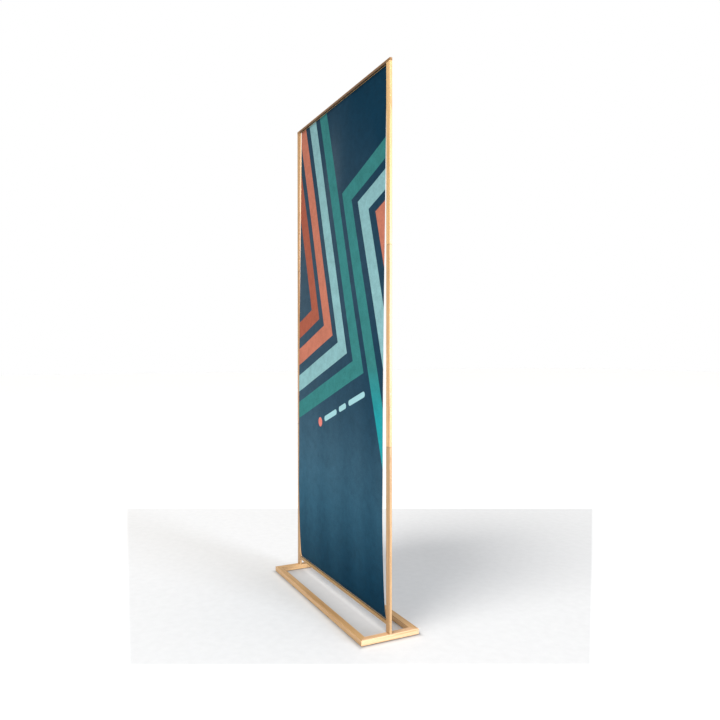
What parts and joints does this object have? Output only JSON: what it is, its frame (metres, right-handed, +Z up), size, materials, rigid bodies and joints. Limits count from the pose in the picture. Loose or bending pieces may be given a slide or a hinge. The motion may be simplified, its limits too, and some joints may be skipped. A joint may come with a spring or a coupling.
{
  "type": "banner stand",
  "caption": "Free-standing knock-down wooden banner stand: open floor frame, slender sectioned posts, two rails and a printed fabric banner.",
  "frame": {"origin": "on the floor, under the middle of the base", "axes": "+Z up, +X across the banner, -Y towards the printed face"},
  "size_m": [0.87, 0.226, 2],
  "materials": {
    "base_wood": "satin clear-lacquered light wood",
    "post_wood": "satin clear-lacquered light wood",
    "rail_wood": "satin clear-lacquered light wood, slightly darker",
    "hidden_wood": "bare light wood",
    "printed_fabric": "matt woven polyester with bent stripes in navy, teal, pale blue, coral and rust",
    "steel": "bright zinc",
    "brass": "plain",
    "pad_rubber": "matt"
  },
  "bodies": {
    "root": {"base_front_bar": "base_wood", "base_back_bar": "base_wood", "base_left_bar": "base_wood", "base_right_bar": "base_wood", "front_left_corner_spline": "hidden_wood", "front_left_foot_pad": "pad_rubber", "front_right_corner_spline": "hidden_wood", "front_right_foot_pad": "pad_rubber", "back_left_corner_spline": "hidden_wood", "back_left_foot_pad": "pad_rubber", "back_right_corner_spline": "hidden_wood", "back_right_foot_pad": "pad_rubber", "left_foot_bolt": "steel", "left_foot_insert": "brass", "left_foot_dowel": "hidden_wood", "left_post_lower": "post_wood", "left_lower_joint_pin": "steel", "left_rail_tongue": "hidden_wood", "right_foot_bolt": "steel", "right_foot_insert": "brass", "right_foot_dowel": "hidden_wood", "right_post_lower": "post_wood", "right_lower_joint_pin": "steel", "right_rail_tongue": "hidden_wood", "bottom_rail": "rail_wood", "bottom_rail_back_strip": "rail_wood", "slot_spacer_1": "hidden_wood", "slot_spacer_2": "hidden_wood", "slot_spacer_3": "hidden_wood", "slot_spacer_4": "hidden_wood", "slot_spacer_5": "hidden_wood"},
    "left_middle": {"left_post_middle": "post_wood", "left_lower_joint_sleeve": "brass", "left_upper_joint_pin": "steel"},
    "left_upper": {"left_post_upper": "post_wood", "left_upper_joint_sleeve": "brass", "left_top_dowel": "hidden_wood"},
    "right_middle": {"right_post_middle": "post_wood", "right_lower_joint_sleeve": "brass", "right_upper_joint_pin": "steel"},
    "right_upper": {"right_post_upper": "post_wood", "right_upper_joint_sleeve": "brass", "right_top_dowel": "hidden_wood"},
    "banner_head": {"top_rail": "rail_wood", "top_batten": "rail_wood", "batten_screw_1": "steel", "batten_screw_2": "steel", "batten_screw_3": "steel", "batten_screw_4": "steel", "batten_screw_5": "steel", "banner": "printed_fabric", "hem_bar": "steel"}
  },
  "joints": [
    {"name": "left_middle_lift", "type": "slide", "parent": "root", "child": "left_middle", "axis": [0, 0, 1], "range_m": [0, 0.045]},
    {"name": "right_middle_lift", "type": "slide", "parent": "root", "child": "right_middle", "axis": [0, 0, 1], "range_m": [0, 0.045]},
    {"name": "left_upper_lift", "type": "slide", "parent": "left_middle", "child": "left_upper", "axis": [0, 0, 1], "range_m": [0, 0.045]},
    {"name": "right_upper_lift", "type": "slide", "parent": "right_middle", "child": "right_upper", "axis": [0, 0, 1], "range_m": [0, 0.045]},
    {"name": "banner_head_lift", "type": "slide", "parent": "left_upper", "child": "banner_head", "axis": [0, 0, 1], "range_m": [0, 0.03]}
  ],
  "couplings": [
    {"joint": "right_middle_lift", "follows": "left_middle_lift", "ratio": 1},
    {"joint": "right_upper_lift", "follows": "left_upper_lift", "ratio": 1}
  ]
}
